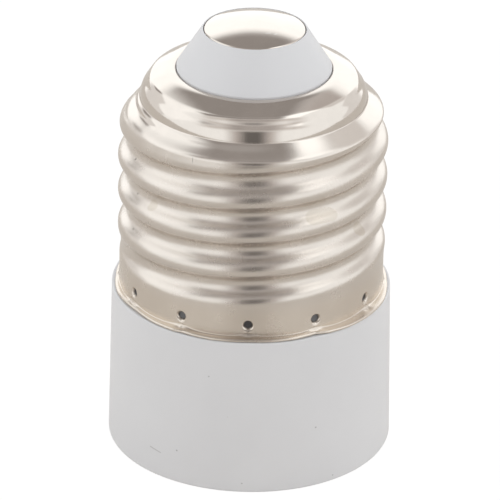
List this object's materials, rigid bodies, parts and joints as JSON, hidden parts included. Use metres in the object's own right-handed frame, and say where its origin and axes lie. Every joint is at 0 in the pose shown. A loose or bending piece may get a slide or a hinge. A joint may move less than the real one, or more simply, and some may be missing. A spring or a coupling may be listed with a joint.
{
  "type": "lamp socket adapter",
  "caption": "Screw lamp holder adapter: a large threaded metal cap with a domed tip contact on one end, a smaller screw socket inside a plain white skirt on the other.",
  "frame": {"origin": "middle of the plane that the socket's rim stands on", "axes": "+Z along the screw axis, from the socket's mouth towards the domed contact; the sleeve's tab lies at +Y and the leaf's bend at -X"},
  "size_m": [0.028, 0.028, 0.044],
  "materials": {
    "white_plastic": "smooth satin moulding",
    "nickel_sheet": "bright nickel-plated sheet, slightly satin on the thread",
    "nickel_contact": "bright nickel plating",
    "bronze_spring": "plain phosphor bronze"
  },
  "bodies": {
    "adapter": {"housing": "white_plastic", "screw_shell": "nickel_sheet", "tip_contact": "nickel_contact", "inner_sleeve": "nickel_sheet"},
    "contact_tongue": {"centre_leaf": "bronze_spring"}
  },
  "joints": [
    {"name": "tongue_flex", "type": "hinge", "parent": "adapter", "child": "contact_tongue", "pos_m": [-0.0042, 0, 0.0278], "axis": [0, -1, 0], "range_deg": [0, 15], "stiffness_Nm_per_rad": 0.083, "deforming": ["centre_leaf"]}
  ]
}
